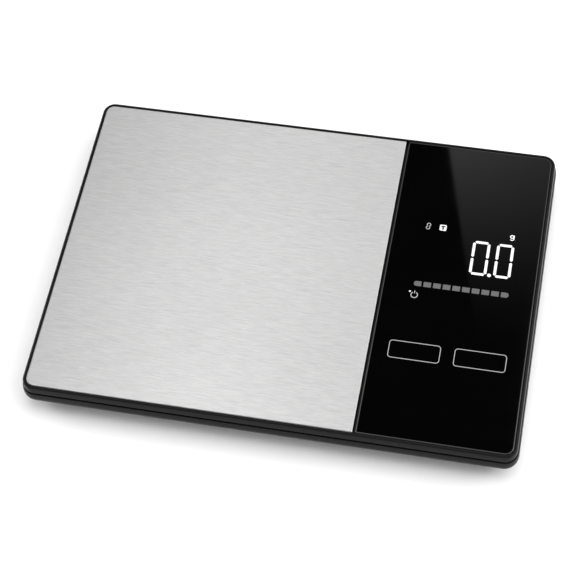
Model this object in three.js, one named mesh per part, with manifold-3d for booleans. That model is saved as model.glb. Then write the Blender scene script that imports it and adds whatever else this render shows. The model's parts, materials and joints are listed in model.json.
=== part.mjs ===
// Kitchen scale with a steel weighing platform and a glass control panel, in millimetres.
// The origin is on the floor under the middle of the scale. +X points to the control panel,
// +Y to the far side and +Z up.

import * as THREE from 'three';
import { mergeVertices } from 'three/addons/utils/BufferGeometryUtils.js';
import Module from 'manifold-3d';

const wasm = await Module();
wasm.setup();

// ---- Driving dimensions ------------------------------------------------------------------

const LENGTH = 225;              // overall, at the widest line of the housing
const DEPTH = 162.5;
const HEIGHT = 18;
const GAP = 0.3;                 // room left between pieces that touch
const HALF_X = LENGTH / 2;
const HALF_Y = DEPTH / 2;

// Housing, seen from the side. An inset is measured inwards from the widest outline.
const EDGE_RADIUS = 6.8;         // corner radius of the widest outline
const SHARP_RADIUS = 0.5;        // smallest corner radius of an inner outline
const CORNER_STEPS = 5;
const ROUND_SIDES = 14;          // facets of bosses, screw heads and holes
const SHANK_SIDES = 8;
const WIDEST_Z = 10.2;
const UNDERSIDE_Z = 1.5;
const BOWL_INSET = 12;           // how far the underside pulls in below the widest line
const BOWL_STEPS = 4;
const FLOOR_TOP_Z = 3;
const WALL_INSET = 2;            // inner face of the lower shell's wall
const LOWER_TOP_Z = 13.5;
const UPPER_BOTTOM_Z = 13.9;
const PARTING_INSET = 0.35;
const RIM_FOOT_INSET = 0.62;
const RIM_TOP_INSET = 1.5;
const RECESS_INSET = 2.2;        // inner face of the rim
const PLATE_INSET = 2.65;        // edge of the steel plate and of the glass
const LEDGE_Z = 15.7;            // ledge under the platform's edge
const GLASS_LEDGE_Z = 15.1;      // ledge under the glass

// Plan of the top
const PLATE_CORNER = 4;
const SQUARE_CORNER = 0.6;
const STEEL_RIGHT = 39.5;
const GLASS_LEFT = 40.7;
const STEEL_THICKNESS = 1;
const GLASS_THICKNESS = 2;
const PLATFORM_OPENING = { x0: -HALF_X + 5.1, x1: 37, y: HALF_Y - 5.1 };
const GLASS_WINDOW = { x0: 43.6, x1: HALF_X - 8, y: HALF_Y - 8 };

// Feet and housing screws
const FOOT_X = 90;
const FOOT_Y = 60;
const FOOT_RADIUS = 6;
const FOOT_RECESS_Z = 2.2;
const FOOT_PLACES = fourCorners(0, FOOT_X, FOOT_Y);
const SCREW_INSET = 10.5;
const BAR_X = (STEEL_RIGHT + GLASS_LEFT) / 2;
const SCREW_XS = [-HALF_X + SCREW_INSET, BAR_X, HALF_X - SCREW_INSET];
const SCREW_Y = HALF_Y - SCREW_INSET;
const SCREW_BOSS_TOP = 6.4;
const SCREW_BOSS_RADIUS = 4.2;
const SCREW_WELL = { radius: 2.9, top: 4.4 };
const SCREW_PASSAGE_RADIUS = 1.7;
const SCREW_HEAD = { radius: 2.6, z0: 2.7, z1: 4.1 };
const SCREW_SHANK = { radius: 1.3, top: 11 };
const SCREW_POST = { radius: 3, bore: 1.6, boreTop: 11.5 };

// Load cell, lying along X under the middle of the platform
const CELL_CENTRE_X = (-HALF_X + PLATE_INSET + STEEL_RIGHT) / 2;
const CELL_LENGTH = 75;
const CELL_HALF_WIDTH = 6;
const CELL_Z0 = 6.2;
const CELL_Z1 = 12;
const CELL_HOLE_OFFSETS = [21.5, 32.5];   // from the middle, at both ends
const CELL_HOLE_RADIUS = 2.3;
const BOLT_RADIUS = 2;
const BOLT_HEAD_RADIUS = 3.6;
const COUNTERSINK_DEPTH = 1.5;
const HEAD_SUNK = 0.05;          // how far a countersunk head lies below its face
const BASE_SCREW_TOP = 10.8;
const PLATFORM_SCREW_END = 7.6;
const SPACER_LENGTH = 20;
const STIFFENER = { halfX: 50, halfY: 28, z0: 3.3, z1: 4.8 };
const STIFFENER_HOLES = { dx: 42, dy: 22, radius: 2.9 };
const STIFFENER_PLACES = fourCorners(CELL_CENTRE_X, STIFFENER_HOLES.dx, STIFFENER_HOLES.dy);

// Platform carrier
const CARRIER = { x0: -HALF_X + 5.7, x1: 36.4, y: HALF_Y - 5.75, ribZ: 13.2, plateZ: 14.6, topZ: 16.1 };
const CARRIER_RIB_YS = [-60, -20, 20, 60];
const CARRIER_RIB_XS = [-85, 15];
const STOP_XS = [-95, 24];
const STOP_Y = 60;
const STOP_TOP_Z = 12.7;
const STOP_RADIUS = 3;
const FLOOR_RIB = { x0: -92, x1: 30, y: 45, z1: 5 };
const SUNK_Z = 2.5;              // where bosses and ribs start, inside the floor

// Battery compartment: three AAA cells lying along X
const BAY = { x0: 46.7, x1: 98.3, y: -29, half: 17, wall: 1.5, z0: 3.6, z1: 14.4 };
const AAA_RADIUS = 5.25;
const AAA_BODY = 43.5;
const AAA_NUB = 1;
const AAA_PITCH = 11.2;
const AAA_AXIS_Z = BAY.z0 + GAP + AAA_RADIUS - 0.1;
const DOOR = { x0: 44, x1: 106.5, half: 17, tongue: 2, z0: UNDERSIDE_Z, tongueZ: 2.5, z1: 3.3 };

// Electronics
const BOARD = { x0: 45.5, x1: 104, y0: 5, y1: 62, z0: 9.6, z1: 10.8 };
const BOARD_SCREWS = [[48.2, 9], [101.6, 9], [48.2, 58], [101.6, 58]];
const DISPLAY = { x0: 51.8, x1: 98.8, y0: -1.5, y1: 38, z0: 11.1, z1: 15.6 };
const DISPLAY_FRAME = { wall: 1, depth: 0.4 };
const FILM = { x0: 46, x1: 103, y0: -42, y1: -2, z0: 15.5, z1: 15.7 };
const FILM_TAIL = { x0: 60, x1: 66, y1: 8, z0: 8.9 };

// ---- Solids ------------------------------------------------------------------------------

// Four places round (middleX, 0), the left pair first
function fourCorners(middleX, dx, dy) {
  return [[-1, -1], [-1, 1], [1, -1], [1, 1]].map(([signX, signY]) => [middleX + signX * dx, signY * dy]);
}

function toSolid(geometry) {
  const bare = geometry.clone();
  bare.deleteAttribute('normal');
  bare.deleteAttribute('uv');
  const merged = mergeVertices(bare, 1e-4);
  return new wasm.Manifold(new wasm.Mesh({
    numProp: 3,
    vertProperties: Float32Array.from(merged.attributes.position.array),
    triVerts: Uint32Array.from(merged.index.array),
  }));
}

function toGeometry(solid) {
  const mesh = solid.getMesh();
  const geometry = new THREE.BufferGeometry();
  geometry.setAttribute('position', new THREE.BufferAttribute(mesh.vertProperties, 3));
  geometry.setIndex(new THREE.BufferAttribute(mesh.triVerts, 1));
  geometry.computeVertexNormals();
  return geometry;
}

function unite(solids) {
  return solids.reduce((whole, piece) => whole.add(piece));
}

function cut(solid, tools) {
  return tools.reduce((rest, tool) => rest.subtract(tool), solid);
}

function box(x0, x1, y0, y1, z0, z1) {
  const geometry = new THREE.BoxGeometry(x1 - x0, y1 - y0, z1 - z0);
  geometry.translate((x0 + x1) / 2, (y0 + y1) / 2, (z0 + z1) / 2);
  return toSolid(geometry);
}

// Upright round piece: radius r0 at the bottom and r1 at the top
function taper(x, y, r0, r1, z0, z1, sides = ROUND_SIDES) {
  const geometry = new THREE.CylinderGeometry(r1, r0, z1 - z0, sides);
  geometry.rotateX(Math.PI / 2);
  geometry.translate(x, y, (z0 + z1) / 2);
  return toSolid(geometry);
}

function disc(x, y, radius, z0, z1, sides = ROUND_SIDES) {
  return taper(x, y, radius, radius, z0, z1, sides);
}

// Outline of a plate; the radii are those of its left and of its right corners
function plateOutline(x0, x1, halfY, leftRadius, rightRadius) {
  const shape = new THREE.Shape();
  shape.moveTo(x0 + leftRadius, -halfY);
  shape.lineTo(x1 - rightRadius, -halfY);
  shape.absarc(x1 - rightRadius, -halfY + rightRadius, rightRadius, -Math.PI / 2, 0, false);
  shape.lineTo(x1, halfY - rightRadius);
  shape.absarc(x1 - rightRadius, halfY - rightRadius, rightRadius, 0, Math.PI / 2, false);
  shape.lineTo(x0 + leftRadius, halfY);
  shape.absarc(x0 + leftRadius, halfY - leftRadius, leftRadius, Math.PI / 2, Math.PI, false);
  shape.lineTo(x0, -halfY + leftRadius);
  shape.absarc(x0 + leftRadius, -halfY + leftRadius, leftRadius, Math.PI, Math.PI * 1.5, false);
  return shape;
}

// Flat plate from z0 to z1; bevel is the size of the chamfer on its top and bottom edges
function plate(outline, z0, z1, bevel = 0) {
  const geometry = new THREE.ExtrudeGeometry(outline, {
    depth: z1 - z0 - 2 * bevel,
    bevelEnabled: bevel > 0,
    bevelThickness: bevel,
    bevelSize: bevel,
    bevelOffset: -bevel,
    bevelSegments: 1,
    curveSegments: CORNER_STEPS,
  });
  geometry.translate(0, 0, z0 + bevel);
  return toSolid(geometry);
}

// The housing's outline at an inset, as a ring of points running anticlockwise
function housingRing(inset) {
  const radius = Math.max(EDGE_RADIUS - inset, SHARP_RADIUS);
  const corners = [[1, 1], [-1, 1], [-1, -1], [1, -1]];
  const points = [];
  corners.forEach(([signX, signY], corner) => {
    const centreX = signX * (HALF_X - inset - radius);
    const centreY = signY * (HALF_Y - inset - radius);
    for (let step = 0; step <= CORNER_STEPS; step += 1) {
      const angle = (corner + step / CORNER_STEPS) * Math.PI / 2;
      points.push([centreX + radius * Math.cos(angle), centreY + radius * Math.sin(angle)]);
    }
  });
  return points;
}

// Closed solid through the housing's outline at each level, given as [z, inset] from the bottom up
function loft(levels) {
  const rings = levels.map(([, inset]) => housingRing(inset));
  const count = rings[0].length;
  const positions = [];
  rings.forEach((ring, level) => {
    ring.forEach(([x, y]) => positions.push(x, y, levels[level][0]));
  });
  const bottom = rings.length * count;
  const top = bottom + 1;
  positions.push(0, 0, levels[0][0], 0, 0, levels[levels.length - 1][0]);
  const indices = [];
  for (let i = 0; i < count; i += 1) {
    const next = (i + 1) % count;
    for (let level = 0; level + 1 < rings.length; level += 1) {
      const low = level * count;
      const high = low + count;
      indices.push(low + i, low + next, high + next, low + i, high + next, high + i);
    }
    const last = (rings.length - 1) * count;
    indices.push(bottom, next, i, top, last + i, last + next);
  }
  const geometry = new THREE.BufferGeometry();
  geometry.setAttribute('position', new THREE.Float32BufferAttribute(positions, 3));
  geometry.setIndex(indices);
  return toSolid(geometry);
}

// Quarter-ellipse levels of a bowl: flat at z0, upright at z1
function bowlLevels(z0, z1, edgeInset, pull) {
  const levels = [];
  for (let step = BOWL_STEPS; step >= 0; step -= 1) {
    const angle = (step / BOWL_STEPS) * Math.PI / 2;
    levels.push([z1 - (z1 - z0) * Math.sin(angle), edgeInset + pull * (1 - Math.cos(angle))]);
  }
  return levels;
}

// ---- Materials ---------------------------------------------------------------------------

function material(color, roughness, metalness) {
  return new THREE.MeshStandardMaterial({ color, roughness, metalness });
}

const scale = new THREE.Group();
scale.name = 'kitchen_scale';

function addNode(name, solid, color, roughness = 0.5, metalness = 0) {
  const mesh = new THREE.Mesh(toGeometry(solid), material(color, roughness, metalness));
  mesh.name = name;
  scale.add(mesh);
}

const BLACK_PLASTIC = 0x1b1b1c;
const GREY_PLASTIC = 0x3a3b3d;
const STEEL = 0xc9c9c8;
const ZINC = 0xb4b6b8;
const ALUMINIUM = 0xbfc2c6;
const BOARD_GREEN = 0x1f5a35;
const CHIP_BLACK = 0x141416;
const WHITE = 0xe8e6e0;
const RUBBER = 0x222222;
const SPRING_STEEL = 0xc4c6c4;

// ---- Housing -----------------------------------------------------------------------------

function housingSkin() {
  return loft([
    ...bowlLevels(UNDERSIDE_Z, WIDEST_Z, 0, BOWL_INSET),
    [LOWER_TOP_Z - 0.4, PARTING_INSET - 0.05],
    [LOWER_TOP_Z, PARTING_INSET + 0.1],
  ]);
}

function housingCavity() {
  return loft([
    ...bowlLevels(FLOOR_TOP_Z, WIDEST_Z + 0.2, WALL_INSET, BOWL_INSET - 0.8),
    [LOWER_TOP_Z + 1, WALL_INSET],
  ]);
}

function eachScrewPlace(visit) {
  for (const x of SCREW_XS) {
    for (const side of [-1, 1]) {
      visit(x, side * SCREW_Y, side);
    }
  }
}

// Battery compartment: box walls and roof, and the pad that the cover's rails are cut in
function bayBody() {
  const outer = BAY.half + BAY.wall;
  const rail = DOOR.half + DOOR.tongue + 1.8;
  return unite([
    box(BAY.x0 - BAY.wall, BAY.x1 + BAY.wall, BAY.y - outer, BAY.y + outer, 2.9, BAY.z1 + 0.8),
    box(DOOR.x0 - 1.5, HALF_X, BAY.y - rail, BAY.y + rail, UNDERSIDE_Z, 5),
  ]);
}

function bayCuts() {
  const slot = DOOR.half + GAP;
  const groove = DOOR.half + DOOR.tongue + GAP;
  const start = DOOR.x0 - GAP;
  return [
    box(BAY.x0, BAY.x1, BAY.y - BAY.half, BAY.y + BAY.half, BAY.z0 - 0.1, BAY.z1),
    box(start, HALF_X + 1, BAY.y - slot, BAY.y + slot, 0, DOOR.z1 + GAP),
    box(start, HALF_X + 1, BAY.y - groove, BAY.y + groove, DOOR.tongueZ - GAP, DOOR.z1 + GAP),
  ];
}

function lowerShell() {
  const skin = housingSkin();
  const inside = [];
  const holes = [...bayCuts()];
  inside.push(bayBody());
  eachScrewPlace((x, y) => {
    inside.push(disc(x, y, SCREW_BOSS_RADIUS, UNDERSIDE_Z, SCREW_BOSS_TOP));
    holes.push(disc(x, y, SCREW_WELL.radius, 0, SCREW_WELL.top));
    holes.push(disc(x, y, SCREW_PASSAGE_RADIUS, 4, SCREW_BOSS_TOP + 1));
  });
  for (const [x, y] of FOOT_PLACES) {
    inside.push(disc(x, y, FOOT_RADIUS + 2, SUNK_Z, 3.6));
    holes.push(disc(x, y, FOOT_RADIUS + GAP, 0, FOOT_RECESS_Z));
  }
  for (const [x, y] of STIFFENER_PLACES) {
    inside.push(disc(x, y, STIFFENER_HOLES.radius - GAP, SUNK_Z, STIFFENER.z1 - GAP));
    holes.push(disc(x, y, 1.4, 2.6, STIFFENER.z1));
  }
  for (const x of STOP_XS) {
    for (const side of [-1, 1]) {
      inside.push(disc(x, side * STOP_Y, STOP_RADIUS, SUNK_Z, STOP_TOP_Z));
    }
  }
  for (const [x, y] of BOARD_SCREWS) {
    inside.push(disc(x, y, 2.6, SUNK_Z, BOARD.z0 - GAP));
    holes.push(disc(x, y, 1.3, 6, BOARD.z0));
  }
  for (const side of [-1, 1]) {
    const y = side * FLOOR_RIB.y;
    inside.push(box(FLOOR_RIB.x0, FLOOR_RIB.x1, y - 0.75, y + 0.75, SUNK_Z, FLOOR_RIB.z1));
  }
  const shell = skin.subtract(housingCavity()).add(unite(inside).intersect(skin.add(aboveSkin())));
  return cut(shell, holes);
}

// Room above the lower shell's top edge, for the bosses and the battery compartment
function aboveSkin() {
  return loft([[LOWER_TOP_Z - 0.1, WALL_INSET], [HEIGHT, WALL_INSET]]);
}

function upperFrame() {
  const outside = loft([
    [UPPER_BOTTOM_Z, PARTING_INSET],
    [UPPER_BOTTOM_Z + 0.7, PARTING_INSET],
    [UPPER_BOTTOM_Z + 0.85, RIM_FOOT_INSET],
    [HEIGHT - 0.3, RIM_TOP_INSET - 0.24],
    [HEIGHT, RIM_TOP_INSET],
  ]);
  const recess = loft([[LEDGE_Z, RECESS_INSET], [HEIGHT + 1, RECESS_INSET]]);
  const glassRecess = loft([[GLASS_LEDGE_Z, RECESS_INSET], [HEIGHT + 1, RECESS_INSET]])
    .intersect(box(GLASS_LEFT - 0.5, HALF_X, -HALF_Y, HALF_Y, 0, HEIGHT + 2));
  const lip = loft([[12, WALL_INSET + GAP], [UPPER_BOTTOM_Z + 0.3, WALL_INSET + GAP]])
    .subtract(loft([[11, 3.5], [HEIGHT, 3.5]]));
  const added = [lip];
  const holes = [];
  added.push(box(BAR_X - 1, BAR_X + 1, -HALF_Y + 3, HALF_Y - 3, 11, UPPER_BOTTOM_Z + 0.3));
  eachScrewPlace((x, y, side) => {
    const top = x === BAR_X ? UPPER_BOTTOM_Z + 0.3 : STOP_TOP_Z;
    const wallY = side * (HALF_Y - 2.9);
    added.push(disc(x, y, SCREW_POST.radius, SCREW_BOSS_TOP + GAP, top));
    added.push(box(x - 1, x + 1, Math.min(y, wallY), Math.max(y, wallY), 8.5, top));
    holes.push(disc(x, y, SCREW_POST.bore, 5, SCREW_POST.boreTop));
  });
  const platformOpening = plateOutline(
    PLATFORM_OPENING.x0, PLATFORM_OPENING.x1, PLATFORM_OPENING.y, 3, 3);
  const window = plateOutline(GLASS_WINDOW.x0, GLASS_WINDOW.x1, GLASS_WINDOW.y, 2, 2);
  const ring = cut(outside, [
    recess,
    glassRecess,
    plate(platformOpening, 10, HEIGHT + 1),
    plate(window, 10, HEIGHT + 1),
  ]);
  return cut(ring.add(unite(added)), holes);
}

function foot(x, y) {
  return unite([
    taper(x, y, FOOT_RADIUS - 0.6, FOOT_RADIUS, 0, 0.6, 20),
    disc(x, y, FOOT_RADIUS, 0.6, FOOT_RECESS_Z - GAP, 20),
  ]);
}

// Pan-head screw with its head below and its point up; a cross is cut in the head
function screwFromBelow(x, y, headRadius, shankRadius, z0, headZ, z1) {
  const body = unite([
    disc(x, y, headRadius, z0, headZ),
    disc(x, y, shankRadius, headZ - 0.1, z1, SHANK_SIDES),
  ]);
  return cut(body, crossRecess(x, y, headRadius, z0 - 1, z0 + 0.7));
}

function crossRecess(x, y, headRadius, z0, z1) {
  const reach = headRadius * 0.6;
  return [
    box(x - reach, x + reach, y - 0.3, y + 0.3, z0, z1),
    box(x - 0.3, x + 0.3, y - reach, y + reach, z0, z1),
  ];
}

function screwFromAbove(x, y, headRadius, shankRadius, z0, headZ, z1) {
  const body = unite([
    disc(x, y, headRadius, headZ, z1),
    disc(x, y, shankRadius, z0, headZ + 0.1, SHANK_SIDES),
  ]);
  return cut(body, crossRecess(x, y, headRadius, z1 - 0.7, z1 + 1));
}

addNode('lower_shell', lowerShell(), BLACK_PLASTIC, 0.45);
addNode('upper_frame', upperFrame(), BLACK_PLASTIC, 0.4);

FOOT_PLACES.forEach(([x, y], index) => {
  addNode(`foot_${index + 1}`, foot(x, y), RUBBER, 0.85);
});

let housingScrewNumber = 0;
eachScrewPlace((x, y) => {
  housingScrewNumber += 1;
  const screw = screwFromBelow(
    x, y, SCREW_HEAD.radius, SCREW_SHANK.radius, SCREW_HEAD.z0, SCREW_HEAD.z1, SCREW_SHANK.top);
  addNode(`housing_screw_${housingScrewNumber}`, screw, ZINC, 0.35, 1);
});

// ---- Glass panel and electronics ---------------------------------------------------------

function glassPanel() {
  const outline = plateOutline(
    GLASS_LEFT, HALF_X - PLATE_INSET, HALF_Y - PLATE_INSET, SQUARE_CORNER, PLATE_CORNER);
  return plate(outline, HEIGHT - GLASS_THICKNESS, HEIGHT, 0.35);
}

function glassTape() {
  const z0 = GLASS_LEDGE_Z + GAP;
  const z1 = HEIGHT - GLASS_THICKNESS - GAP;
  const back = 0.5;
  const edge = plateOutline(
    GLASS_LEFT + back, HALF_X - PLATE_INSET - back, HALF_Y - PLATE_INSET - back,
    SQUARE_CORNER, PLATE_CORNER - back);
  const middle = plateOutline(
    GLASS_WINDOW.x0 - 0.4, GLASS_WINDOW.x1 + 0.4, GLASS_WINDOW.y + 0.4, 2, 2);
  return plate(edge, z0, z1).subtract(plate(middle, z0 - 1, z1 + 1));
}

// Touch sensor film with its tail, which folds down and under the board
function touchFilm() {
  return unite([
    box(FILM.x0, FILM.x1, FILM.y0, FILM.y1, FILM.z0, FILM.z1),
    box(FILM_TAIL.x0, FILM_TAIL.x1, FILM.y1 - 0.2, FILM.y1, FILM_TAIL.z0, FILM.z1),
    box(FILM_TAIL.x0, FILM_TAIL.x1, FILM.y1 - 0.2, FILM_TAIL.y1, FILM_TAIL.z0, FILM_TAIL.z0 + 0.2),
  ]);
}

function mainBoard() {
  const holes = BOARD_SCREWS.map(([x, y]) => disc(x, y, 1.7, BOARD.z0 - 1, BOARD.z1 + 1));
  return cut(box(BOARD.x0, BOARD.x1, BOARD.y0, BOARD.y1, BOARD.z0, BOARD.z1), holes);
}

// Light box of the display: a frame with a recessed front window
function displayModule() {
  const { wall, depth } = DISPLAY_FRAME;
  const block = box(DISPLAY.x0, DISPLAY.x1, DISPLAY.y0, DISPLAY.y1, DISPLAY.z0, DISPLAY.z1);
  return block.subtract(box(
    DISPLAY.x0 + wall, DISPLAY.x1 - wall, DISPLAY.y0 + wall, DISPLAY.y1 - wall,
    DISPLAY.z1 - depth, DISPLAY.z1 + 1));
}

// A part soldered to the underside of the board
function underBoard(x, y, sizeX, sizeY, height) {
  const z1 = BOARD.z0 - GAP;
  return box(x - sizeX / 2, x + sizeX / 2, y - sizeY / 2, y + sizeY / 2, z1 - height, z1);
}

addNode('glass_panel', glassPanel(), 0x050506, 0.05);
addNode('glass_tape', glassTape(), 0x202022, 0.9);
addNode('touch_film', touchFilm(), 0x8a5a20, 0.5);
addNode('display_module', displayModule(), 0x101012, 0.6);
addNode('main_board', mainBoard(), BOARD_GREEN, 0.5);
addNode('controller_chip', underBoard(75, 40, 12, 12, 1.2), CHIP_BLACK, 0.5);
addNode('converter_chip', underBoard(60, 30, 6, 10, 1.4), CHIP_BLACK, 0.5);
addNode('radio_module', underBoard(93, 46, 13, 18, 2), ZINC, 0.4, 1);
addNode('film_connector', underBoard(63, 10.2, 8, 3.6, 1.4), WHITE, 0.6);
addNode('cable_connector', underBoard(48.6, 27, 4, 10, 3), WHITE, 0.6);
addNode('battery_connector', underBoard(88, 10, 9, 4, 3), WHITE, 0.6);
addNode('storage_capacitor', disc(60, 50, 2.5, 4.3, BOARD.z0 - GAP), CHIP_BLACK, 0.4);
BOARD_SCREWS.forEach(([x, y], index) => {
  const screw = screwFromAbove(x, y, 2.3, 1, 6.5, BOARD.z1 + GAP, BOARD.z1 + GAP + 1.2);
  addNode(`board_screw_${index + 1}`, screw, ZINC, 0.35, 1);
});

// ---- Load cell and platform --------------------------------------------------------------

const FIXED_HOLES = CELL_HOLE_OFFSETS.map((offset) => CELL_CENTRE_X - offset);
const FREE_HOLES = CELL_HOLE_OFFSETS.map((offset) => CELL_CENTRE_X + offset);

function boltHoles(xs, z0, z1) {
  return xs.map((x) => disc(x, 0, CELL_HOLE_RADIUS, z0, z1));
}

// Bending bar: two cross bores joined by a slot make its thin flexing section
function loadCell() {
  const half = CELL_LENGTH / 2;
  const bar = box(
    CELL_CENTRE_X - half, CELL_CENTRE_X + half, -CELL_HALF_WIDTH, CELL_HALF_WIDTH, CELL_Z0, CELL_Z1);
  const middleZ = (CELL_Z0 + CELL_Z1) / 2;
  const bores = [-6, 6].map((offset) => {
    const geometry = new THREE.CylinderGeometry(2, 2, 2 * CELL_HALF_WIDTH + 2, 16);
    geometry.translate(CELL_CENTRE_X + offset, 0, middleZ);
    return toSolid(geometry);
  });
  const slot = box(
    CELL_CENTRE_X - 6, CELL_CENTRE_X + 6, -CELL_HALF_WIDTH - 1, CELL_HALF_WIDTH + 1,
    middleZ - 0.6, middleZ + 0.6);
  return cut(bar, [
    ...bores,
    slot,
    ...boltHoles([...FIXED_HOLES, ...FREE_HOLES], CELL_Z0 - 1, CELL_Z1 + 1),
  ]);
}

function potting() {
  const outline = new THREE.Shape();
  outline.absellipse(CELL_CENTRE_X, 0, 10, 4.6, 0, Math.PI * 2, false);
  return plate(outline, CELL_Z1 + GAP, CELL_Z1 + GAP + 0.6, 0.15);
}

// Spacer at one end of the load cell: side is -1 for the fixed end and 1 for the free end
function spacer(side, holes, z0, z1) {
  const outer = CELL_CENTRE_X + side * CELL_LENGTH / 2;
  const inner = outer - side * SPACER_LENGTH;
  const block = box(
    Math.min(outer, inner), Math.max(outer, inner), -CELL_HALF_WIDTH, CELL_HALF_WIDTH, z0, z1);
  return cut(block, boltHoles(holes, z0 - 1, z1 + 1));
}

// Conical seat for a countersunk head in a face at faceZ; up is 1 where it opens upwards
function countersink(x, faceZ, up) {
  const wide = BOLT_HEAD_RADIUS + 0.35;
  const slope = (wide - CELL_HOLE_RADIUS) / COUNTERSINK_DEPTH;
  const beyond = 0.4;
  const low = wide - slope * (COUNTERSINK_DEPTH + beyond);
  const high = wide + slope * beyond;
  if (up > 0) {
    return taper(x, 0, low, high, faceZ - COUNTERSINK_DEPTH - beyond, faceZ + beyond);
  }
  return taper(x, 0, high, low, faceZ - beyond, faceZ + COUNTERSINK_DEPTH + beyond);
}

function stiffenerPlate() {
  const holes = [];
  for (const x of FIXED_HOLES) {
    holes.push(countersink(x, STIFFENER.z0, -1));
    holes.push(disc(x, 0, CELL_HOLE_RADIUS, STIFFENER.z0 - 1, STIFFENER.z1 + 1));
  }
  for (const [x, y] of STIFFENER_PLACES) {
    holes.push(disc(x, y, STIFFENER_HOLES.radius, STIFFENER.z0 - 1, STIFFENER.z1 + 1));
  }
  const outline = plateOutline(
    CELL_CENTRE_X - STIFFENER.halfX, CELL_CENTRE_X + STIFFENER.halfX, STIFFENER.halfY, 4, 4);
  return cut(plate(outline, STIFFENER.z0, STIFFENER.z1), holes);
}

// Ribbed plastic plate under the steel plate, with a pad where the load cell is screwed on
function platformCarrier() {
  const outline = plateOutline(CARRIER.x0, CARRIER.x1, CARRIER.y, 3, 3);
  const inner = plateOutline(CARRIER.x0 + 1.5, CARRIER.x1 - 1.5, CARRIER.y - 1.5, 2, 2);
  const low = CARRIER.ribZ - 2;
  const high = CARRIER.plateZ + 1;
  const ribs = [];
  for (const y of CARRIER_RIB_YS) {
    ribs.push(box(-HALF_X, HALF_X, y - 0.7, y + 0.7, low, high));
  }
  for (const x of CARRIER_RIB_XS) {
    ribs.push(box(x - 0.7, x + 0.7, -HALF_Y, HALF_Y, low, high));
  }
  const padEnd = CELL_CENTRE_X + CELL_LENGTH / 2 + 1.5;
  ribs.push(box(padEnd - SPACER_LENGTH - 3, padEnd, -8, 8, low, high));
  const pockets = cut(plate(inner, CARRIER.ribZ - 1, CARRIER.plateZ), ribs);
  const holes = boltHoles(FREE_HOLES, CARRIER.ribZ - 1, CARRIER.topZ + 1);
  for (const x of FREE_HOLES) {
    holes.push(countersink(x, CARRIER.topZ, 1));
  }
  return cut(plate(outline, CARRIER.ribZ, CARRIER.topZ), [pockets, ...holes]);
}

function countersunkFromBelow(x, z0, z1) {
  return unite([
    taper(x, 0, BOLT_HEAD_RADIUS, BOLT_RADIUS, z0, z0 + 1.5),
    disc(x, 0, BOLT_RADIUS, z0 + 1.4, z1),
  ]);
}

function countersunkFromAbove(x, z0, z1) {
  return unite([
    taper(x, 0, BOLT_RADIUS, BOLT_HEAD_RADIUS, z1 - 1.5, z1),
    disc(x, 0, BOLT_RADIUS, z0, z1 - 1.4),
  ]);
}

function steelPlatform() {
  const outline = plateOutline(
    -HALF_X + PLATE_INSET, STEEL_RIGHT, HALF_Y - PLATE_INSET, PLATE_CORNER, SQUARE_CORNER);
  return plate(outline, HEIGHT - STEEL_THICKNESS, HEIGHT, 0.2);
}

function platformTape() {
  const outline = plateOutline(CARRIER.x0 + 2, CARRIER.x1 - 2, CARRIER.y - 2, 2, 2);
  return plate(outline, CARRIER.topZ + GAP, HEIGHT - STEEL_THICKNESS - GAP);
}

addNode('stiffener_plate', stiffenerPlate(), ZINC, 0.45, 1);
STIFFENER_PLACES.forEach(([x, y], index) => {
  const headZ = STIFFENER.z1 + GAP;
  const screw = screwFromAbove(x, y, 3.8, 1.1, 3, headZ, headZ + 1.5);
  addNode(`stiffener_screw_${index + 1}`, screw, ZINC, 0.35, 1);
});
const baseSpacer = spacer(-1, FIXED_HOLES, STIFFENER.z1 + GAP, CELL_Z0 - GAP);
addNode('base_spacer', baseSpacer, ALUMINIUM, 0.4, 1);
addNode('load_cell', loadCell(), ALUMINIUM, 0.35, 1);
addNode('load_cell_potting', potting(), WHITE, 0.7);
FIXED_HOLES.forEach((x, index) => {
  const screw = countersunkFromBelow(x, STIFFENER.z0 + HEAD_SUNK, BASE_SCREW_TOP);
  addNode(`base_screw_${index + 1}`, screw, ZINC, 0.35, 1);
});
const platformSpacer = spacer(1, FREE_HOLES, CELL_Z1 + GAP, CARRIER.ribZ - GAP);
addNode('platform_spacer', platformSpacer, ALUMINIUM, 0.4, 1);
addNode('platform_carrier', platformCarrier(), GREY_PLASTIC, 0.55);
FREE_HOLES.forEach((x, index) => {
  const screw = countersunkFromAbove(x, PLATFORM_SCREW_END, CARRIER.topZ - HEAD_SUNK);
  addNode(`platform_screw_${index + 1}`, screw, ZINC, 0.35, 1);
});
addNode('platform_tape', platformTape(), 0x2c2c2e, 0.9);
addNode('steel_platform', steelPlatform(), STEEL, 0.32, 1);

// ---- Batteries ---------------------------------------------------------------------------

const CELL_YS = [-AAA_PITCH, 0, AAA_PITCH].map((offset) => BAY.y + offset);
const PLATE_THICKNESS = 0.4;
const NUB_GAP = 2 * GAP + PLATE_THICKNESS;

// Battery cell lying along X; side is the direction of its positive end
function batteryCell(y, side) {
  const profile = [
    [0, 0], [AAA_RADIUS - 0.4, 0], [AAA_RADIUS, 0.4], [AAA_RADIUS, AAA_BODY - 0.4],
    [AAA_RADIUS - 0.4, AAA_BODY], [1.9, AAA_BODY], [1.9, AAA_BODY + AAA_NUB], [0, AAA_BODY + AAA_NUB],
  ].map(([r, h]) => new THREE.Vector2(r, h));
  const geometry = new THREE.LatheGeometry(profile, 16);
  geometry.rotateZ(-side * Math.PI / 2);
  const positiveEnd = side > 0 ? BAY.x1 - NUB_GAP : BAY.x0 + NUB_GAP;
  geometry.translate(positiveEnd - side * (AAA_BODY + AAA_NUB), y, AAA_AXIS_Z);
  return toSolid(geometry);
}

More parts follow.
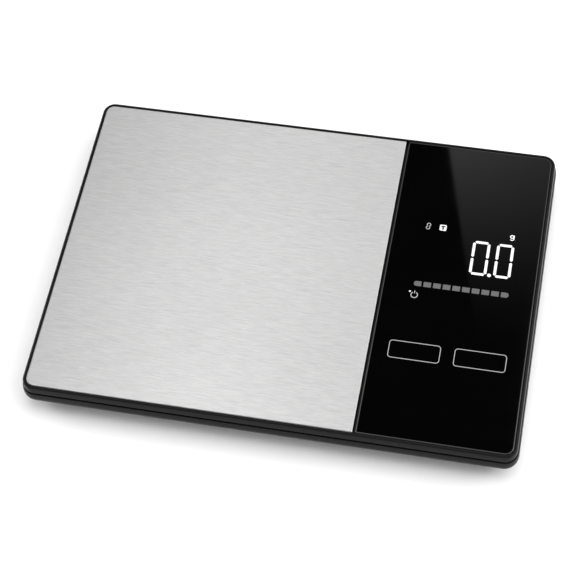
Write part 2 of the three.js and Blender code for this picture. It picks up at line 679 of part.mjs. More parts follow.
// Conical spring on the negative end of a cell; side points from the wall to the cell
class ConeHelix extends THREE.Curve {
  constructor(x, y, side) {
    super();
    this.x = x;
    this.y = y;
    this.side = side;
  }

  getPoint(t, target = new THREE.Vector3()) {
    const angle = t * 3.2 * 2 * Math.PI;
    const radius = 3.7 - 1.5 * t;
    return target.set(
      this.x + this.side * 4.1 * t,
      this.y + radius * Math.cos(angle),
      AAA_AXIS_Z + radius * Math.sin(angle),
    );
  }
}

function roundSection(radius, sides) {
  const shape = new THREE.Shape();
  for (let i = 0; i < sides; i += 1) {
    const angle = (i / sides) * Math.PI * 2;
    const x = radius * Math.cos(angle);
    const y = radius * Math.sin(angle);
    if (i === 0) {
      shape.moveTo(x, y);
    } else {
      shape.lineTo(x, y);
    }
  }
  shape.closePath();
  return shape;
}

function rod(path, radius, sides, steps) {
  const geometry = new THREE.ExtrudeGeometry(roundSection(radius, sides), { extrudePath: path, steps });
  return toSolid(geometry);
}

function batterySpring(y, side) {
  const wall = side > 0 ? BAY.x0 : BAY.x1;
  const start = wall + side * (2 * GAP + PLATE_THICKNESS + 0.35);
  return rod(new ConeHelix(start, y, side), 0.3, 5, 30);
}

// Contact plate on an end wall of the compartment; wallSide is -1 for the left wall
function contactPlate(y0, y1, wallSide) {
  const wall = wallSide < 0 ? BAY.x0 : BAY.x1;
  const near = wall - wallSide * GAP;
  const far = near - wallSide * PLATE_THICKNESS;
  return box(Math.min(near, far), Math.max(near, far), y0 - 4.6, y1 + 4.6, 4.6, 13.4);
}

// Sliding cover: a plate with a tongue along each side and ridges for the finger
function batteryCover() {
  const skin = housingSkin();
  const body = unite([
    box(DOOR.x0, DOOR.x1, BAY.y - DOOR.half, BAY.y + DOOR.half, DOOR.z0, DOOR.z1),
    box(
      DOOR.x0, DOOR.x1, BAY.y - DOOR.half - DOOR.tongue, BAY.y + DOOR.half + DOOR.tongue,
      DOOR.tongueZ, DOOR.z1),
  ]).intersect(skin);
  const grooves = [];
  for (let i = 0; i < 5; i += 1) {
    const x = 84 + i * 2.4;
    grooves.push(box(x, x + 1.2, BAY.y - 8, BAY.y + 8, 0, DOOR.z0 + 0.5));
  }
  return cut(body, grooves);
}

const CELL_SIDES = [1, -1, 1];
CELL_YS.forEach((y, index) => {
  addNode(`battery_cell_${index + 1}`, batteryCell(y, CELL_SIDES[index]), 0x6f7d86, 0.35, 0.6);
});
CELL_YS.forEach((y, index) => {
  addNode(`battery_spring_${index + 1}`, batterySpring(y, CELL_SIDES[index]), SPRING_STEEL, 0.3, 1);
});
addNode('negative_contact', contactPlate(CELL_YS[0], CELL_YS[0], -1), SPRING_STEEL, 0.3, 1);
addNode('left_bridge_contact', contactPlate(CELL_YS[1], CELL_YS[2], -1), SPRING_STEEL, 0.3, 1);
addNode('right_bridge_contact', contactPlate(CELL_YS[0], CELL_YS[1], 1), SPRING_STEEL, 0.3, 1);
addNode('positive_contact', contactPlate(CELL_YS[2], CELL_YS[2], 1), SPRING_STEEL, 0.3, 1);
addNode('battery_cover', batteryCover(), BLACK_PLASTIC, 0.45);

// ---- Internal leads ----------------------------------------------------------------------

function lead(points, radius) {
  const path = new THREE.CatmullRomCurve3(points.map(([x, y, z]) => new THREE.Vector3(x, y, z)));
  return rod(path, radius, 6, 18);
}

const LOAD_CELL_ROUTE = [
  [CELL_CENTRE_X, 7.4, 8.5], [CELL_CENTRE_X + 4.9, 11, 8.5], [-18, 14, 8], [10, 16, 8],
  [32, 22, 8], [40, 25.5, 8], [46, 27, 8],
];
const BLACK_ROUTE = [
  [44.7, -40.2, 9], [42.4, -36, 8.4], [42, -20, 7.5], [44, -8, 7], [56, -5, 6.5], [76, -4, 6.5],
  [85, 0, 7], [86, 7.5, 7.8],
];
const RED_ROUTE = [
  [100.3, -17.8, 9], [103, -12, 8.4], [101, -4, 7.5], [93, -1, 7.2], [90, 2.5, 7.5], [90, 7.5, 7.8],
];
addNode('load_cell_cable', lead(LOAD_CELL_ROUTE, 1), 0x9a9a98, 0.6);
addNode('battery_lead_black', lead(BLACK_ROUTE, 0.6), 0x151515, 0.6);
addNode('battery_lead_red', lead(RED_ROUTE, 0.6), 0xa01818, 0.6);

export default scale;
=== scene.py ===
"""Kitchen scale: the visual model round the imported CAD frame.

Lengths in this file are in millimetres unless a name says otherwise, and mm() turns them into metres.
Angles are in degrees. An inset is a distance inwards from the housing's widest outline.
"""

import json
import math

import bmesh
import bpy
from mathutils import Matrix, Vector

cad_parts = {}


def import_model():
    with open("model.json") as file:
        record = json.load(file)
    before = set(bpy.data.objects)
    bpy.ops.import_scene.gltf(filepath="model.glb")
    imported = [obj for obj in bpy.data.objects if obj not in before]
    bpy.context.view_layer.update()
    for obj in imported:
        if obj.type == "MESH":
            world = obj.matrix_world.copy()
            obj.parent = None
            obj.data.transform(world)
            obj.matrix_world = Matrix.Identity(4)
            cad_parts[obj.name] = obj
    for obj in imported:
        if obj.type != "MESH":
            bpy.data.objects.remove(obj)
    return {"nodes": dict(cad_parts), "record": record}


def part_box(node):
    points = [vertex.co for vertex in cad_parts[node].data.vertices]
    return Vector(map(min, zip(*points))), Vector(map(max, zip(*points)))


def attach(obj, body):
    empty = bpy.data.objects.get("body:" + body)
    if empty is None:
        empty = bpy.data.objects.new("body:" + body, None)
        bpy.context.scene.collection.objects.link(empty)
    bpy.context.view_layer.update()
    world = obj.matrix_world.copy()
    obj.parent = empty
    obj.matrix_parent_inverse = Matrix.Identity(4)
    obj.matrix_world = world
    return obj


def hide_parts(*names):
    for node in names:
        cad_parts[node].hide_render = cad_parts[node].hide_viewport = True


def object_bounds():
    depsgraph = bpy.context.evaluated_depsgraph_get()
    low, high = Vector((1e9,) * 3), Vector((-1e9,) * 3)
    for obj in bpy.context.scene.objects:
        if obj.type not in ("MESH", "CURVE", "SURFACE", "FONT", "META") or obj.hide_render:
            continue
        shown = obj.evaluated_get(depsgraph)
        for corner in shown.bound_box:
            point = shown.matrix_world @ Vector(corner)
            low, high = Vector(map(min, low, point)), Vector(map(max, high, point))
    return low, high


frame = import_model()
CAD_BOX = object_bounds()

LOW, HIGH = CAD_BOX[0] * 1000.0, CAD_BOX[1] * 1000.0
HALF_X = (HIGH.x - LOW.x) / 2
HALF_Y = (HIGH.y - LOW.y) / 2
TOP_Z = HIGH.z

# ---- Camera: the photographed view ---------------------------------------------------------------

VIEW_TARGET = (3.61, -10.30, 18.0)
VIEW_AZIMUTH = 15.61
VIEW_ELEVATION = 59.26
VIEW_DISTANCE = 755.2
VIEW_ROLL = -5.82
VIEW_LENS = 102.77
VIEW_SENSOR = 36
VIEW_SHIFT_X = -0.0208

# ---- Light: the shape of the sky -----------------------------------------------------------------
# The sky is described by where a level mirror shows it: across is X / Z of a direction, along is Y / Z.
# Each ramp is (start, end, level before the start, level after the end).

SKY_STRENGTH = 2.3
LEAST_UP = 0.02

TENT_LEAN = -0.14           # how the tent's left edge turns with along
TENT_RISE = (-0.50, -0.29, 0.0, 1.8)
TENT_LEFT_FILL = (-1.6, -0.9, 0.75, 0.22)
TENT_FADE_RIGHT = (-0.305, -0.095, 1.0, 0.62)
TENT_FADE_FAR = (0.3, 0.9, 1.0, 0.55)
TENT_FADE_NEAR = (-0.5, 0.15, 0.08, 1.0)

SIDE_RISE = (0.9, 1.6, 0.0, 2.2)
SIDE_NEAR_END = (-0.1, 0.2, 0.0, 1.0)
SIDE_FAR_END = (0.42, 0.62, 1.0, 0.0)

STRIP_LEVEL = 0.8
STRIP_NEAR_EDGE = (-0.93, -0.88, 0.0, 1.0)
STRIP_FAR_EDGE = (-0.80, -0.74, 1.0, 0.0)
STRIP_ENDS = (0.35, 0.5, 1.0, 0.0)
CORNER_LAMP_DIRECTION = (0.785, -0.433, 0.443)
CORNER_LAMP = (0.993, 0.997, 0.0, 5.0)

OPENING_LEFT = (-0.14, -0.118, 0.0, 1.0)
OPENING_RIGHT = (0.0045, 0.0085, 1.0, 0.0)
OPENING_NEAR = (0.40, 0.44, 0.0, 1.0)
OPENING_FAR = (0.74, 0.78, 1.0, 0.0)
OPENING_LEVEL = 0.002
WEDGE_LEAN = 0.2637
WEDGE_EDGE = (0.1125, 0.1155, 0.0, 1.0)
WEDGE_RISE = (0.54, 0.705, 0.0, 1.0)
WEDGE_FADE = (0.114, 0.184, 0.33, 0.205)
WEDGE_POWER = 2.1

HORIZON_LEVEL = 0.45
HORIZON_BAND = (0.1, 0.32, 1.0, 0.0)

# ---- Looks ---------------------------------------------------------------------------------------

BROAD_GRAIN = 40            # how much coarser the grain of a colour is than that of its bump
GRAIN_BUMP = 0.6

STEEL_HAIR = (190, 4200, 4200)
STEEL_STREAK = (85, 3000, 3000)
STEEL_CLOUD = (9, 14, 14)
STEEL_DARK = (0.312, 0.312, 0.311)
STEEL_LIGHT = (0.424, 0.424, 0.422)
STEEL_GRAIN_RANGE = (0.7, 1.3)
STEEL_ROUGHNESS = (0.33, 0.36)
STEEL_ANISOTROPY = 0.75
STEEL_BUMP, STEEL_BUMP_DEPTH = 0.35, 0.02

GLASS_SMEAR = (25, 60, 25)
GLASS_DARK = (0.0006, 0.0006, 0.0007)
GLASS_LIGHT = (0.0012, 0.0012, 0.0013)
GLASS_ROUGHNESS = (0.015, 0.03)
GLASS_INDEX = 1.5

LIT_GRAIN = (400, 400, 400)
LIT_LEAST, LIT_MOST = 0.92, 1.04
LIT_BASE = (0.02, 0.02, 0.02, 1)
LIT_ROUGHNESS = 0.3

# ---- Sizes that the frame doesn't give -----------------------------------------------------------

ARC_STEPS = 14
SMOOTH_ANGLE = 32.0
FLAT_MARGIN = 0.25          # a narrow flat border keeps the shading of a cap apart from its edge

# Housing
EDGE_RADIUS = 6.8
WIDEST_Z = 10.2
LOWER_TOP_Z = 13.25
FRAME_BOTTOM_Z = 13.6
LEDGE_Z = 15.1
LEDGE_INSET = 5.1
RECESS_INSET = 2.4
WALL_INSET = 2.0
BOWL_INSET = 12.0
BOWL_STEPS = 14
INNER_BOWL_INSET = BOWL_INSET - 0.8
INNER_WIDEST_Z = WIDEST_Z + 0.2
SHELL_FLOOR = 1.5
LEAST_CORNER = 0.4
BEYOND = 1.0                # how far a cutting box reaches past what it cuts
BRIDGE_LEFT = 2.5           # the bar between the plates, to either side of the steel's right edge
BRIDGE_RIGHT = 4.1
BRIDGE_GAP = 0.05
BRIDGE_INSET = 5.0

# (rise, inset) above the widest level and above the frame's bottom; (drop, inset) below each part's top
LOWER_WALL = (0.8, 0.08)
LOWER_LIP = [(0.35, 0.32), (0.12, 0.36), (0.0, 0.48)]
FRAME_FOOT = [(0.0, 1.10), (0.05, 0.97), (0.15, 0.86), (0.30, 0.79), (0.48, 0.76), (0.65, 0.77)]
FRAME_LIP = [
    (0.80, 1.13), (0.50, 1.20), (0.26, 1.32), (0.09, 1.52), (0.0, 1.80), (0.0, 2.22),
    (0.03, 2.31), (0.10, 2.37), (0.22, RECESS_INSET),
]

# Battery bay and cover
BAY_WALL = 1.5
BAY_WALL_Z = 2.9
BAY_ROOF = 0.8
BAY_LEFT_ROOM = 6.0
BAY_RIGHT_ROOM = 1.0
BAY_SIDE_ROOM = 0.5
COVER_GAP = 0.3
COVER_TONGUE = 2.0
COVER_TONGUE_HEIGHT = 0.8
COVER_TONGUE_DROP = 0.001   # keeps the tongues' top off the cover's own, for the boolean
RIDGE_COUNT = 7
RIDGE_PITCH = 2.0
RIDGE_WIDTH = 1.0
RIDGE_START = 40.0
RIDGE_HALF = 8.0
RIDGE_DEPTH = 0.45

# Screw wells and feet; the foot's profile is (distance inside its edge, height)
WELL_RADIUS = 2.9
SCREW_HEAD = 1.7
FOOT_GAP = 0.3
FOOT_STEPS = 56
FOOT_CENTRE_RADIUS = 0.05
FOOT_PROFILE = [
    (0.0, 0.75), (0.08, 0.45), (0.28, 0.2), (0.6, 0.05), (0.95, 0.0), (1.9, 0.0), (2.1, 0.12),
    (2.3, 0.25), (2.5, 0.12), (2.7, 0.0),
]

# Plates; an edge is the (inset, drop) list from the top face outwards
PLATE_CORNER = 4.0
SQUARE_CORNER = 0.6
LEAST_PLATE_CORNER = 0.15
PLATE_FOOT_BEVEL = 0.15
STEEL_EDGE = [(0.40, 0.0), (0.35, 0.015), (0.31, 0.05), (0.07, 0.29), (0.02, 0.34), (0.0, 0.40)]
GLASS_EDGE = [(0.30, 0.0), (0.26, 0.015), (0.04, 0.22), (0.0, 0.28)]
GLASS_TOP_Z = TOP_Z - 0.07

# Marks on the glass
MARK_Z0 = GLASS_TOP_Z - 0.05
MARK_Z1 = GLASS_TOP_Z + 0.02
DIGIT_TOP = 26.7
DIGIT_MIDDLE = 18.19
DIGIT_BOTTOM = 9.63
DIGIT_COLUMNS = [(79.34, 86.14), (90.5, 97.15)]
SEGMENT_WIDTH = 1.25
SEGMENT_GAP = 0.32
SEGMENT_SHOULDER = 0.36 * SEGMENT_WIDTH
POINT_CENTRE = (88.09, 9.69)
POINT_RADIUS = 0.9
UNIT_CENTRE = (96.25, 31.6)
UNIT_BOWL = 0.75
UNIT_TAIL = 0.8
UNIT_LINE = 0.5
UNIT_TAIL_LINE = 0.45
TARE_CENTRE = (63.78, 32.16)
TARE_HALF = 1.6
TARE_CORNER = 0.6
TARE_LETTER = [(1.0, 0.4, 1.05), (0.38, -1.1, 0.35)]     # (half width, bottom, top) of bar and stem
TARE_LETTER_LIFT = 0.012
LINK_CENTRE = (56.9, 32.07)
LINK_OFFSET = (0.12, 0.8)
LINK_RADIUS = 0.82
LINK_START = -85
LINK_SPAN = 300
LINK_LINE = 0.33
BAR_COUNT = 10
BAR_LEFT, BAR_RIGHT = 54.78, 98.2
BAR_Y = 0.4
BAR_HALF = 1.3
BAR_GAP = 0.95
BAR_END_CORNER = 1.2
BAR_CORNER = 0.15
POWER_CENTRE = (55.84, -5.76)
POWER_RADIUS = 1.5
POWER_ARC = (122, 418)
POWER_STEM = (2.2, 0.9)
POWER_LINE = 0.38
POWER_STEM_LINE = 0.36
POWER_DOT_CENTRE = (53.65, -4.13)
POWER_DOT_RADIUS = 0.42
KEY_LEFTS = (48.68, 78.23)
KEY_WIDTH = 23.05
KEY_Y0, KEY_Y1 = -39.18, -30.45
KEY_CORNER = 1.4
KEY_LINE = 0.32
MARK_CORNER_STEPS = 6
KEY_CORNER_STEPS = 8

# Floor
FLOOR_HALF_SIDE = 30000


def mm(value):
    return value / 1000.0


def box_mm(node):
    """The node's lowest and highest corners, in millimetres."""
    low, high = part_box(node)
    return low * 1000.0, high * 1000.0


# ---- Mesh helpers --------------------------------------------------------------------------------


def new_object(name, mesh, material):
    obj = bpy.data.objects.new(name, mesh)
    bpy.context.scene.collection.objects.link(obj)
    if material is not None:
        obj.data.materials.append(material)
    return obj


def shade(mesh):
    mesh.polygons.foreach_set("use_smooth", [True] * len(mesh.polygons))
    mesh.set_sharp_from_angle(angle=math.radians(SMOOTH_ANGLE))


def finish_mesh(name, bm, material):
    """Turns a bmesh in millimetres into a shaded object in metres."""
    bmesh.ops.recalc_face_normals(bm, faces=bm.faces)
    bmesh.ops.scale(bm, vec=(0.001, 0.001, 0.001), verts=bm.verts)
    mesh = bpy.data.meshes.new(name)
    bm.to_mesh(mesh)
    bm.free()
    shade(mesh)
    return new_object(name, mesh, material)


def rounded_rect(x0, x1, y0, y1, radii, steps=ARC_STEPS):
    """Anticlockwise outline; radii are those of the far-right, far-left, near-left and near-right corners."""
    corners = [(x1, y1, -1, -1), (x0, y1, 1, -1), (x0, y0, 1, 1), (x1, y0, -1, 1)]
    points = []
    for index, (x, y, sign_x, sign_y) in enumerate(corners):
        radius = radii[index]
        centre_x = x + sign_x * radius
        centre_y = y + sign_y * radius
        for step in range(steps + 1):
            angle = (index + step / steps) * math.pi / 2
            points.append((centre_x + radius * math.cos(angle), centre_y + radius * math.sin(angle)))
    return points


def housing_outline(inset):
    radius = max(EDGE_RADIUS - inset, LEAST_CORNER)
    return rounded_rect(
        -HALF_X + inset, HALF_X - inset, -HALF_Y + inset, HALF_Y - inset, [radius] * 4)


def loft(bm, levels, close_ring=False):
    """Skins outlines of equal length, given as (points, z). It caps both ends, or joins them into a ring."""
    rings = [[bm.verts.new((x, y, z)) for x, y in points] for points, z in levels]
    count = len(rings[0])
    pairs = list(zip(rings, rings[1:]))
    if close_ring:
        pairs.append((rings[-1], rings[0]))
    for low, high in pairs:
        for i in range(count):
            j = (i + 1) % count
            bm.faces.new((low[i], low[j], high[j], high[i]))
    if not close_ring:
        bm.faces.new(list(reversed(rings[0])))
        bm.faces.new(rings[-1])


def add_box(bm, x0, x1, y0, y1, z0, z1):
    outline = [(x0, y0), (x1, y0), (x1, y1), (x0, y1)]
    loft(bm, [(outline, z0), (outline, z1)])


def circle(x, y, radius, steps=40):
    return [
        (x + radius * math.cos(i * 2 * math.pi / steps), y + radius * math.sin(i * 2 * math.pi / steps))
        for i in range(steps)
    ]


def arc(x, y, radius, start, end, steps=24):
    """Points along an arc from start to end degrees."""
    return [
        (x + radius * math.cos(math.radians(start + (end - start) * i / steps)),
         y + radius * math.sin(math.radians(start + (end - start) * i / steps)))
        for i in range(steps + 1)
    ]


def add_disc(bm, x, y, radius, z0, z1):
    outline = circle(x, y, radius)
    loft(bm, [(outline, z0), (outline, z1)])


def boolean(obj, operation, build):
    """Cuts, joins or intersects with a temporary solid; build fills its bmesh in millimetres."""
    bm = bmesh.new()
    build(bm)
    tool = finish_mesh("tool", bm, None)
    modifier = obj.modifiers.new("boolean", "BOOLEAN")
    modifier.operation = operation
    modifier.solver = "EXACT"
    modifier.object = tool
    graph = bpy.context.evaluated_depsgraph_get()
    mesh = bpy.data.meshes.new_from_object(obj.evaluated_get(graph))
    obj.modifiers.clear()
    old = obj.data
    obj.data = mesh
    bpy.data.meshes.remove(old)
    bpy.data.objects.remove(tool)


def show(piece, body, slot, *nodes):
    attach(piece, body)
    if nodes:
        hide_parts(*nodes)
    return piece


# ---- Materials -----------------------------------------------------------------------------------


def new_material(name):
    material = bpy.data.materials.new(name)
    material.use_nodes = True
    return material, material.node_tree, material.node_tree.nodes["Principled BSDF"]


def object_mapping(tree, scale):
    """Object coordinates, which are the frame's own, stretched by scale."""
    coordinates = tree.nodes.new("ShaderNodeTexCoord")
    mapping = tree.nodes.new("ShaderNodeMapping")
    mapping.inputs["Scale"].default_value = scale
    tree.links.new(coordinates.outputs["Object"], mapping.inputs["Vector"])
    return mapping.outputs["Vector"]


def noise(tree, vector, scale, detail=3.0, roughness=0.55):
    node = tree.nodes.new("ShaderNodeTexNoise")
    node.inputs["Scale"].default_value = scale
    node.inputs["Detail"].default_value = detail
    node.inputs["Roughness"].default_value = roughness
    tree.links.new(vector, node.inputs["Vector"])
    return node.outputs["Fac"]


def to_range(tree, value, low, high, from_low=0.25, from_high=0.75):
    node = tree.nodes.new("ShaderNodeMapRange")
    node.inputs["From Min"].default_value = from_low
    node.inputs["From Max"].default_value = from_high
    node.inputs["To Min"].default_value = low
    node.inputs["To Max"].default_value = high
    tree.links.new(value, node.inputs["Value"])
    return node.outputs["Result"]


def two_colours(tree, factor, first, second):
    node = tree.nodes.new("ShaderNodeMix")
    node.data_type = "RGBA"
    node.inputs["A"].default_value = (*first, 1)
    node.inputs["B"].default_value = (*second, 1)
    tree.links.new(factor, node.inputs["Factor"])
    return node.outputs["Result"]


def bump(tree, shader, height, strength, distance_mm):
    node = tree.nodes.new("ShaderNodeBump")
    node.inputs["Strength"].default_value = strength
    node.inputs["Distance"].default_value = mm(distance_mm)
    tree.links.new(height, node.inputs["Height"])
    tree.links.new(node.outputs["Normal"], shader.inputs["Normal"])


def grained(name, colour, spread, roughness, grain_mm, bump_mm,
            metallic=0.0, specular=0.5, stretch=(1, 1, 1)):
    """A surface with a fine grain: spread is how far its colour and roughness vary about their middle."""
    material, tree, shader = new_material(name)
    vector = object_mapping(tree, stretch)
    fine = noise(tree, vector, 1000.0 / grain_mm)
    broad = noise(tree, vector, 1000.0 / (grain_mm * BROAD_GRAIN), 2.0)
    dark = tuple(c * (1 - spread) for c in colour)
    light = tuple(min(c * (1 + spread), 1) for c in colour)
    tree.links.new(two_colours(tree, broad, dark, light), shader.inputs["Base Color"])
    rough = to_range(tree, fine, roughness * (1 - spread / 2), min(roughness * (1 + spread / 2), 1))
    tree.links.new(rough, shader.inputs["Roughness"])
    shader.inputs["Metallic"].default_value = metallic
    shader.inputs["Specular IOR Level"].default_value = specular
    bump(tree, shader, fine, GRAIN_BUMP, bump_mm)
    return material


def steel_material():
    """Brushed stainless steel with the grain along X: fine hairs over longer streaks, and a broad cloud."""
    material, tree, shader = new_material("brushed_stainless")
    hair = noise(tree, object_mapping(tree, STEEL_HAIR), 1.0, roughness=0.7)
    streak = noise(tree, object_mapping(tree, STEEL_STREAK), 1.0, roughness=0.65)
    cloud = noise(tree, object_mapping(tree, STEEL_CLOUD), 1.0, detail=2.0)
    both = tree.nodes.new("ShaderNodeMath")
    both.operation = "ADD"
    tree.links.new(hair, both.inputs[0])
    tree.links.new(streak, both.inputs[1])
    grain = to_range(tree, both.outputs[0], 0, 1, *STEEL_GRAIN_RANGE)
    colour = two_colours(tree, grain, STEEL_DARK, STEEL_LIGHT)
    tree.links.new(colour, shader.inputs["Base Color"])
    tree.links.new(to_range(tree, cloud, *STEEL_ROUGHNESS), shader.inputs["Roughness"])
    shader.inputs["Metallic"].default_value = 1.0
    shader.inputs["Anisotropic"].default_value = STEEL_ANISOTROPY
    across_grain = tree.nodes.new("ShaderNodeCombineXYZ")
    across_grain.inputs["Y"].default_value = 1.0
    tree.links.new(across_grain.outputs[0], shader.inputs["Tangent"])
    bump(tree, shader, both.outputs[0], STEEL_BUMP, STEEL_BUMP_DEPTH)
    return material


def glass_material():
    """Polished glass over an opaque black print, with faint handling marks in its gloss."""
    material, tree, shader = new_material("black_control_glass")
    smear = noise(tree, object_mapping(tree, GLASS_SMEAR), 1.0, detail=4.0)
    tree.links.new(two_colours(tree, smear, GLASS_DARK, GLASS_LIGHT), shader.inputs["Base Color"])
    tree.links.new(to_range(tree, smear, *GLASS_ROUGHNESS), shader.inputs["Roughness"])
    shader.inputs["IOR"].default_value = GLASS_INDEX
    return material


def light_material(name, level):
    """A lit mark; its light varies a little from place to place."""
    material, tree, shader = new_material(name)
    cell = noise(tree, object_mapping(tree, LIT_GRAIN), 1.0, detail=1.0)
    low, high = [level * LIT_LEAST] * 3, [level * LIT_MOST] * 3
    tree.links.new(two_colours(tree, cell, low, high), shader.inputs["Emission Color"])
    shader.inputs["Emission Strength"].default_value = 1.0
    shader.inputs["Base Color"].default_value = LIT_BASE
    shader.inputs["Roughness"].default_value = LIT_ROUGHNESS
    return material


PLASTIC = grained(
    "black_plastic", (0.0045, 0.0045, 0.0048), 0.25, 0.33, 0.22, 0.012, specular=0.095)
RUBBER = grained("foot_rubber_matt", (0.02, 0.02, 0.02), 0.3, 0.8, 0.3, 0.02, specular=0.3)
STEEL = steel_material()
GLASS = glass_material()
DISPLAY_WHITE = light_material("display_white", 1.15)
ICON_GREY = light_material("icon_grey", 0.55)
BAR_GREY = light_material("bar_grey", 0.09)
# Painted light: the key outlines are grey print, drawn glowing at a fixed level in place of light falling on
# the print.
GLOWING_KEY_PRINT = light_material("key_print_painted_glow", 0.5)

SLOT_LOOKS = {
    "housing_plastic": PLASTIC,
    "foot_rubber": RUBBER,
    "brushed_steel": STEEL,
    "black_glass": GLASS,
    "zinc_steel": grained("zinc_plated", (0.52, 0.53, 0.55), 0.2, 0.35, 0.5, 0.01, metallic=1.0),
    "adhesive_foam": grained("tape_foam", (0.015, 0.015, 0.016), 0.3, 0.9, 0.2, 0.03, specular=0.2),
    "sensor_film": grained("sensor_film_amber", (0.3, 0.13, 0.03), 0.2, 0.3, 1.5, 0.01),
    "display_plastic": grained("display_box_black", (0.01, 0.01, 0.011), 0.2, 0.5, 0.3, 0.01),
    "circuit_board": grained("solder_mask", (0.012, 0.10, 0.035), 0.35, 0.3, 0.8, 0.02),
    "chip_plastic": grained("chip_epoxy", (0.012, 0.012, 0.013), 0.25, 0.5, 0.1, 0.01),
    "shield_metal": grained("tinned_shield", (0.6, 0.6, 0.6), 0.15, 0.3, 0.6, 0.01, metallic=1.0),
    "connector_plastic": grained("connector_nylon", (0.7, 0.68, 0.62), 0.1, 0.5, 0.3, 0.01),
    "aluminium": grained(
        "milled_aluminium", (0.6, 0.61, 0.63), 0.15, 0.35, 0.15, 0.012, metallic=1.0, stretch=(0.08, 1, 1)),
    "potting_silicone": grained("silicone_potting", (0.75, 0.74, 0.7), 0.1, 0.45, 1.2, 0.05),
    "carrier_plastic": grained("carrier_grey", (0.035, 0.035, 0.038), 0.25, 0.5, 0.25, 0.015),
    "cell_jacket": grained("cell_jacket_print", (0.06, 0.1, 0.13), 0.25, 0.3, 2.0, 0.01, metallic=0.5),
    "spring_steel": grained("nickel_spring", (0.6, 0.6, 0.57), 0.15, 0.25, 0.4, 0.01, metallic=1.0),
    "red_lead": grained("red_insulation", (0.33, 0.012, 0.012), 0.2, 0.4, 0.4, 0.01),
    "black_lead": grained("black_insulation", (0.01, 0.01, 0.01), 0.2, 0.4, 0.4, 0.01),
    "grey_lead": grained("grey_insulation", (0.28, 0.28, 0.28), 0.2, 0.4, 0.4, 0.01),
}


def dress_cad_nodes():
    """Gives every CAD node the look of its material slot."""
    slots = {entry["node"]: entry["material_slot"] for entry in frame["record"]["subparts"]}
    for name, node in frame["nodes"].items():
        node.data.materials.clear()
        node.data.materials.append(SLOT_LOOKS[slots[name]])


# ---- Housing -------------------------------------------------------------------------------------


def bowl(z0, z1, edge_inset, pull):
    """Levels of a quarter ellipse, from the flat bottom at z0 to the upright side at z1."""
    levels = []
    for step in range(BOWL_STEPS, -1, -1):
        angle = step / BOWL_STEPS * math.pi / 2
        levels.append((z1 - (z1 - z0) * math.sin(angle), edge_inset + pull * (1 - math.cos(angle))))
    return levels


def lower_housing():
    """Hollow shell with a bowl-shaped underside, the battery bay, and recesses for feet and screws."""
    low, high = box_mm("lower_shell")
    cover_low, cover_high = box_mm("battery_cover")
    first_low, first_high = box_mm("battery_cell_1")
    last_high = box_mm("battery_cell_3")[1]
    outer = [(low.z, BOWL_INSET + FLAT_MARGIN)]
    outer += bowl(low.z, WIDEST_Z, 0.0, BOWL_INSET)
    outer.append((WIDEST_Z + LOWER_WALL[0], LOWER_WALL[1]))
    outer += [(LOWER_TOP_Z - drop, inset) for drop, inset in LOWER_LIP]
    inner = [(LOWER_TOP_Z, WALL_INSET)]
    inner += list(reversed(bowl(low.z + SHELL_FLOOR, INNER_WIDEST_Z, WALL_INSET, INNER_BOWL_INSET)))
    inner.append((low.z + SHELL_FLOOR, WALL_INSET + INNER_BOWL_INSET + FLAT_MARGIN))
    bm = bmesh.new()
    loft(bm, [(housing_outline(inset), z) for z, inset in outer + inner])
    shell = finish_mesh("lower_housing", bm, PLASTIC)

    bay_x0, bay_x1 = first_low.x - BAY_LEFT_ROOM, first_high.x + BAY_RIGHT_ROOM
    bay_y0, bay_y1 = first_low.y - BAY_SIDE_ROOM, last_high.y + BAY_SIDE_ROOM
    cover_x0, cover_x1 = cover_low.x - COVER_GAP, HALF_X + BEYOND
    cover_top = cover_high.z + COVER_GAP

    def bay_walls(bm):
        add_box(
            bm, bay_x0 - BAY_WALL, bay_x1 + BAY_WALL, bay_y0 - BAY_WALL, bay_y1 + BAY_WALL,
            BAY_WALL_Z, high.z)

    def bay_room(bm):
        add_box(bm, bay_x0, bay_x1, bay_y0, bay_y1, 0.0, high.z - BAY_ROOF)

    def cover_slot(bm):
        edge = COVER_TONGUE - COVER_GAP
        add_box(bm, cover_x0, cover_x1, cover_low.y + edge, cover_high.y - edge, 0.0, cover_top)

    def cover_grooves(bm):
        groove_z = cover_high.z - COVER_TONGUE_HEIGHT - COVER_GAP
        add_box(
            bm, cover_x0, cover_x1, cover_low.y - COVER_GAP, cover_high.y + COVER_GAP, groove_z, cover_top)

    def foot_recesses(bm):
        for index in range(1, 5):
            foot_low, foot_high = box_mm(f"foot_{index}")
            centre = (foot_low + foot_high) / 2
            radius = (foot_high.x - foot_low.x) / 2 + FOOT_GAP
            add_disc(bm, centre.x, centre.y, radius, 0.0, foot_high.z + FOOT_GAP)

    def screw_wells(bm):
        for index in range(1, 7):
            screw_low, screw_high = box_mm(f"housing_screw_{index}")
            centre = (screw_low + screw_high) / 2
            add_disc(bm, centre.x, centre.y, WELL_RADIUS, 0.0, screw_low.z + SCREW_HEAD)

    boolean(shell, "UNION", bay_walls)
    for cut in (bay_room, cover_slot, cover_grooves, foot_recesses, screw_wells):
        boolean(shell, "DIFFERENCE", cut)
    shade(shell.data)
    return show(shell, "base", "housing_plastic", "lower_shell")


